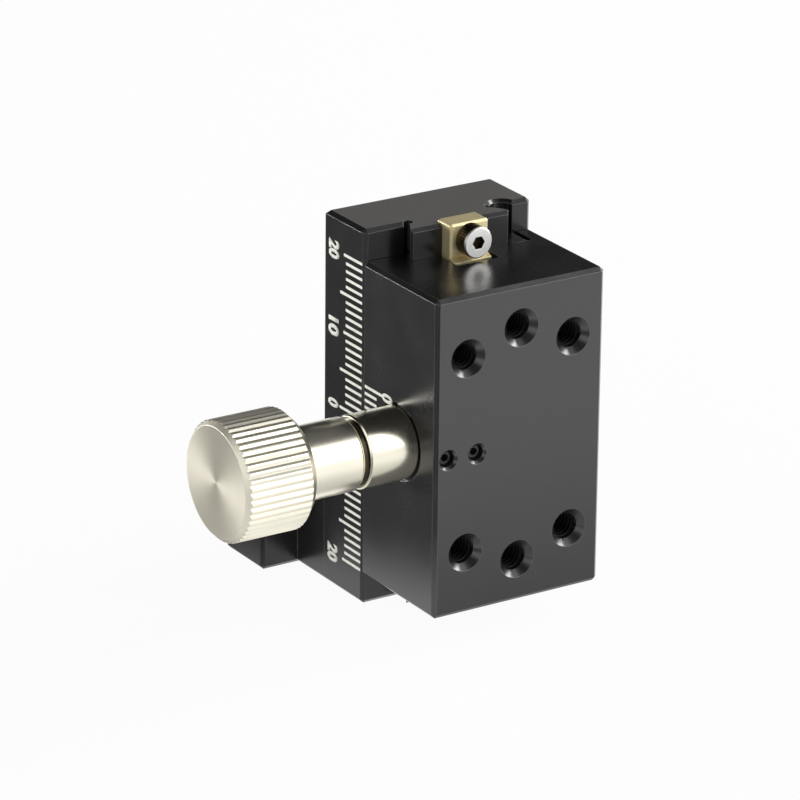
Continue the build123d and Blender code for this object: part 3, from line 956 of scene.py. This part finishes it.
@dataclass
class HoleThreads:
    """Helical thread crests in the tapped holes of the carriage's front, in millimetres."""

    palette: Palette
    wide_spots: tuple[tuple[float, float], ...] = (
        (0.0, 15.0), (0.0, -15.0), (-7.5, -12.5), (-7.5, 12.5), (7.5, -12.5), (7.5, 12.5),
    )
    wide_radius: float = 1.65
    wide_pitch: float = 0.7
    wide_height: float = 0.16
    wide_turns: int = 8
    wide_start: float = 1.05
    narrow_spots: tuple[tuple[float, float], ...] = ((-6.0, 0.0), (-10.1, 0.0))
    narrow_radius: float = 1.0
    narrow_pitch: float = 0.35
    narrow_height: float = 0.08
    narrow_turns: int = 1
    narrow_start: float = 0.48
    tip_share: float = 0.06
    foot_share: float = 0.36
    wall_overlap: float = 0.02
    steps: int = 40
    smooth_angle: float = 35.0

    def crest(self, radius: float, pitch: float, height: float, turns: int) -> bpy.types.Object:
        """Model one helical crest that winds down from the origin along -Z.

        Args:
            radius: Radius of the hole's wall.
            pitch: Rise of one turn.
            height: How far the crest stands inwards from the wall.
            turns: Number of turns.

        Returns:
            The crest, in metres.
        """
        Bench.clear()
        bpy.ops.mesh.primitive_circle_add(vertices=4, radius=1.0, rotation=(math.pi / 2, 0.0, 0.0))
        profile = bpy.context.object
        bpy.ops.object.transform_apply(location=True, rotation=True, scale=True)
        for point in profile.data.vertices:
            if point.co.x < -0.5:
                point.co = Vector((radius - height, 0.0, self.tip_share * pitch))
            elif point.co.x > 0.5:
                point.co = Vector((radius - height, 0.0, -self.tip_share * pitch))
            elif point.co.z > 0:
                point.co = Vector((radius + self.wall_overlap, 0.0, self.foot_share * pitch))
            else:
                point.co = Vector((radius + self.wall_overlap, 0.0, -self.foot_share * pitch))
        profile.data.transform(Matrix.Scale(MM, 4))
        Bench.finish_modifier(
            profile, "SCREW", axis="Z", screw_offset=-pitch * MM, iterations=turns, steps=self.steps,
            render_steps=self.steps, use_merge_vertices=False,
        )
        Bench.edit(profile)
        bpy.ops.mesh.select_all(action="SELECT")
        bpy.ops.mesh.fill_holes(sides=6)
        bpy.ops.object.mode_set(mode="OBJECT")
        Bench.outward(profile)
        bpy.ops.object.shade_smooth_by_angle(angle=math.radians(self.smooth_angle))
        return profile

    def build_row(
        self, name: str, crest: bpy.types.Object, spots: tuple[tuple[float, float], ...], start: float
    ) -> None:
        """Set one crest into several holes of the front as one piece.

        Args:
            name: Name of the piece.
            crest: Crest round the origin.
            spots: Place of each hole across and up.
            start: Depth of the first turn behind the front.
        """
        to_front = Matrix.Rotation(math.pi / 2, 4, "X")
        places = [Matrix.Translation(at(x, FRONT_SIDE_Y + start, z)) @ to_front for x, z in spots]
        skin = self.palette.material("thread")
        Bench.hand_over(Bench.repeat(name, crest, places), Body.CARRIAGE, Slot.ANODISED, skin)

    def build(self) -> None:
        """Build the crests of the six wide holes and of the two small ones."""
        wide = self.crest(self.wide_radius, self.wide_pitch, self.wide_height, self.wide_turns)
        self.build_row("front_hole_threads", wide, self.wide_spots, self.wide_start)
        narrow = self.crest(self.narrow_radius, self.narrow_pitch, self.narrow_height, self.narrow_turns)
        self.build_row("set_screw_threads", narrow, self.narrow_spots, self.narrow_start)


@dataclass(frozen=True)
class Lamp:
    """One soft lamp: name, power in watts, width and height of its window and its place in metres."""

    name: str
    power: float
    size: tuple[float, float]
    place: tuple[float, float, float]


@dataclass
class Studio:
    """Floor, world, lamps and camera. The camera's places are in millimetres."""

    camera_place: tuple[float, float, float] = (-310.17, -497.90, 246.52)
    camera_aim: tuple[float, float, float] = (-6.726, -19.9, 26.109)
    camera_roll: float = 0.595
    lens: float = 223.65
    sensor_width: float = 36.0
    floor_radius: float = 2.5
    floor_drop: float = 0.05
    floor_colour: float = 0.82

    # What a mirror sees of the floor, by place in metres: dark on the left, pale on the right, and dimmer
    # towards the slide except below the knob, a painted shadow of the slide in mirrors.
    # A small pale patch, a painted glow, lies where only the knob's rim looks.
    floor_skew: float = 0.35
    floor_right: Ramp = (-0.025, -0.011, 0.12, 1.22)
    floor_near: Ramp = (-0.09, -0.036, 1.0, 0.5)
    floor_beside: Ramp = (-0.02, -0.008, 1.0, 0.0)
    floor_under: Ramp = (-0.035, -0.029, 0.0, 1.0)
    patch_skew: float = 0.627
    patch_front: Ramp = (-0.019, -0.013, 0.0, 1.0)
    patch_rear: Ramp = (0.02, 0.035, 1.0, 0.0)
    patch_left: Ramp = (-0.046, -0.036, 1.0, 0.0)

    # Strength of the world by direction: a pale horizon, a pale front, a dark rear and a pale left.
    sky_horizon: Ramp = (0.09, 0.16, 0.8, 0.0)
    sky_front: Ramp = (-0.45, -0.38, 1.15, 0.11)
    sky_right: Ramp = (0.15, 0.42, 0.06, 1.0)
    sky_rear: Ramp = (0.35, 0.6, 0.0, 0.08)
    sky_left: Ramp = (-0.7, -0.6, 1.3, 0.0)
    sky_left_rear: Ramp = (0.1, 0.3, 1.0, 0.0)

    lamp_aim: tuple[float, float, float] = (-0.005, -0.02, 0.024)
    lamps: tuple[Lamp, ...] = (
        Lamp("key_lamp", 9.0, (0.38, 0.6), (0.85, -0.06, 0.42)),
        Lamp("front_lamp", 2.6, (0.8, 0.7), (0.42, -0.70, 0.50)),
        Lamp("left_lamp", 7.0, (0.8, 0.25), (-0.60, 0.77, 0.10)),
    )

    def build_camera(self) -> None:
        """Set the camera at the photograph's view."""
        place = Vector(self.camera_place) * MM
        forward = (Vector(self.camera_aim) * MM - place).normalized()
        right = forward.cross(Vector((0.0, 0.0, 1.0))).normalized()
        upward = right.cross(forward)
        roll = math.radians(self.camera_roll)
        turned_right = right * math.cos(roll) + upward * math.sin(roll)
        turned_up = upward * math.cos(roll) - right * math.sin(roll)
        data = bpy.data.cameras.new("photo_camera")
        data.lens = self.lens
        data.sensor_width = self.sensor_width
        data.sensor_fit = "HORIZONTAL"
        data.clip_start = 0.01
        data.clip_end = 20.0
        camera = bpy.data.objects.new("photo_camera", data)
        turn = Matrix((turned_right, turned_up, -forward)).transposed().to_4x4()
        camera.matrix_world = Matrix.Translation(place) @ turn
        bpy.context.scene.collection.objects.link(camera)
        bpy.context.scene.camera = camera

    def build_floor(self) -> None:
        """Lay a wide round pale floor under the slide, white to the camera and graded in mirrors."""
        Bench.clear()
        place = (0.0, 0.0, -self.floor_drop * MM)
        bpy.ops.mesh.primitive_circle_add(
            vertices=96, radius=self.floor_radius, fill_type="NGON", location=place
        )
        floor = bpy.context.object
        floor.name = "pale_floor"
        material = bpy.data.materials.new("pale_floor")
        material.use_nodes = True
        material.node_tree.nodes.clear()
        shader = ShaderTree(material.node_tree)
        tone = (self.floor_colour, self.floor_colour, self.floor_colour, 1.0)
        matt = shader.add("ShaderNodeBsdfDiffuse", {"Color": tone})
        path = shader.add("ShaderNodeLightPath")
        camera = path.outputs["Is Camera Ray"]
        mirrored = shader.maths("MAXIMUM", path.outputs["Is Glossy Ray"], path.outputs["Is Transmission Ray"])
        parts = shader.add("ShaderNodeSeparateXYZ", {0: shader.add("ShaderNodeTexCoord").outputs["Object"]})
        x, y = parts.outputs[0], parts.outputs[1]
        across = shader.maths("SUBTRACT", x, shader.maths("MULTIPLY", y, self.floor_skew))
        shade = shader.fold(
            "MAXIMUM",
            shader.spread(y, *self.floor_near),
            shader.spread(x, *self.floor_beside),
            shader.spread(y, *self.floor_under),
        )
        graded = shader.maths("MULTIPLY", shader.spread(across, *self.floor_right), shade)
        ahead = shader.maths("SUBTRACT", y, shader.maths("MULTIPLY", x, self.patch_skew))
        patch = shader.fold(
            "MULTIPLY",
            shader.spread(ahead, *self.patch_front),
            shader.spread(ahead, *self.patch_rear),
            shader.spread(x, *self.patch_left),
        )
        in_mirror = shader.maths("MULTIPLY", mirrored, shader.maths("MAXIMUM", graded, patch))
        strength = shader.maths("MAXIMUM", camera, in_mirror)
        glow = shader.add("ShaderNodeEmission", {"Color": (1.0, 1.0, 1.0, 1.0), "Strength": strength})
        to_camera = shader.maths("MULTIPLY", camera, 0.95)
        share = shader.maths("ADD", to_camera, shader.maths("MULTIPLY", mirrored, 0.9))
        mixed = shader.add("ShaderNodeMixShader", {0: share, 1: matt.outputs[0], 2: glow.outputs[0]})
        shader.add("ShaderNodeOutputMaterial", {"Surface": mixed.outputs[0]})
        floor.data.materials.append(material)

    def build_world(self) -> None:
        """Surround the slide with a pale horizon, front and left under a dark ceiling and rear."""
        world = bpy.data.worlds.new("studio_world")
        bpy.context.scene.world = world
        world.use_nodes = True
        world.node_tree.nodes.clear()
        shader = ShaderTree(world.node_tree)
        towards = shader.add("ShaderNodeTexCoord").outputs["Generated"]
        parts = shader.add("ShaderNodeSeparateXYZ", {0: towards})
        x, y, z = parts.outputs
        front = shader.spread(y, *self.sky_front)
        ceiling = shader.maths("SUBTRACT", front, shader.spread(y, *self.sky_rear))
        right = shader.maths("MULTIPLY", ceiling, shader.spread(x, *self.sky_right))
        before = shader.spread(y, *self.sky_left_rear)
        left = shader.maths("MULTIPLY", shader.spread(x, *self.sky_left), before)
        level = shader.fold("MAXIMUM", shader.spread(z, *self.sky_horizon), right, left)
        background = shader.add("ShaderNodeBackground", {"Color": (1.0, 1.0, 1.0, 1.0), "Strength": level})
        shader.add("ShaderNodeOutputWorld", {"Surface": background.outputs[0]})

    def build_lamp(self, lamp: Lamp) -> None:
        """Hang one soft lamp that looks at the slide's middle.

        Args:
            lamp: The lamp to hang.
        """
        data = bpy.data.lights.new(lamp.name, "AREA")
        data.shape = "RECTANGLE"
        data.energy = lamp.power
        data.size, data.size_y = lamp.size
        hung = bpy.data.objects.new(lamp.name, data)
        hung.location = Vector(lamp.place)
        aim = Vector(self.lamp_aim) - hung.location
        hung.rotation_euler = aim.to_track_quat("-Z", "Y").to_euler()
        bpy.context.scene.collection.objects.link(hung)

    def build(self) -> None:
        """Set up the whole studio."""
        bpy.context.scene.view_settings.view_transform = "Standard"
        self.build_camera()
        self.build_floor()
        self.build_world()
        for lamp in self.lamps:
            self.build_lamp(lamp)
        log.info("studio ready")


def main() -> None:
    """Build the camera and studio, then dress the slide piece by piece."""
    logging.basicConfig(level=logging.INFO, format="%(name)s: %(message)s")
    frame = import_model()
    Studio().build()
    palette = Palette()
    palette.dress_nodes(frame["nodes"])
    Scale(palette).build()
    HoleThreads(palette).build()


if __name__ == "__main__":
    main()
